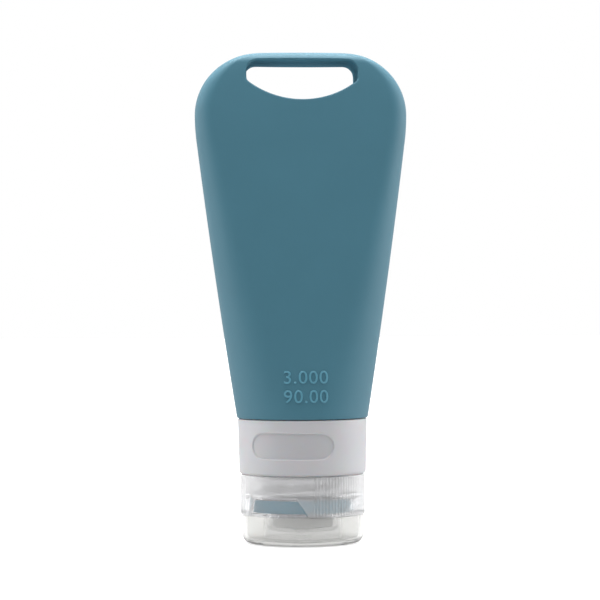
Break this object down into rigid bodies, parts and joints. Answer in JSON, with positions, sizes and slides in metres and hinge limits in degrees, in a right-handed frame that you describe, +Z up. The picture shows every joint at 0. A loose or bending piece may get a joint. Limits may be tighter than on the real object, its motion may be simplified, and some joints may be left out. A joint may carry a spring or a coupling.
{
  "type": "squeeze travel bottle",
  "caption": "Soft squeeze travel bottle, wide and flat at the top with a hanger slot, standing on a clear flip lid, screw cap and turning collar.",
  "frame": {"origin": "on the surface the bottle stands on, on the axis of the neck, at the underside of the flip lid", "axes": "+Z up along the neck's axis to the hanger slot, X across the width, -Y out of the face with the mark"},
  "size_m": [0.0656, 0.0402, 0.1507],
  "materials": {
    "silicone": "matt moulded silicone",
    "seal_silicone": "smooth silicone",
    "valve_silicone": "milky silicone",
    "frosted_plastic": "frosted, milky polypropylene",
    "ring_plastic": "plain white",
    "clear_plastic": "clear, polished"
  },
  "bodies": {
    "bottle": {"silicone_body": "silicone", "neck_insert": "clear_plastic", "label_ring": "ring_plastic"},
    "collar": {"collar": "frosted_plastic"},
    "seal": {"seal_washer": "seal_silicone"},
    "cap": {"cap_shell": "clear_plastic", "valve": "valve_silicone", "valve_retainer": "clear_plastic"},
    "lid": {"flip_lid": "clear_plastic", "hinge_strap": "clear_plastic"}
  },
  "joints": [
    {"name": "collar_turn", "type": "hinge", "parent": "bottle", "child": "collar", "pos_m": [0, 0, 0.03], "axis": [0, 0, 1], "continuous": true},
    {"name": "cap_travel", "type": "slide", "parent": "bottle", "child": "seal", "axis": [0, 0, -1], "range_m": [0, 0.0057]},
    {"name": "cap_turn", "type": "hinge", "parent": "seal", "child": "cap", "pos_m": [0, 0, 0.0125], "axis": [0, 0, -1], "range_deg": [0, 504]},
    {"name": "lid_flip", "type": "hinge", "parent": "cap", "child": "lid", "pos_m": [0.00979, 0.01629, 0.0088], "axis": [0.8572, -0.515, 0], "range_deg": [0, 150]}
  ],
  "couplings": [
    {"joint": "cap_travel", "follows": "cap_turn", "m_per_rad": 0.00063662}
  ]
}
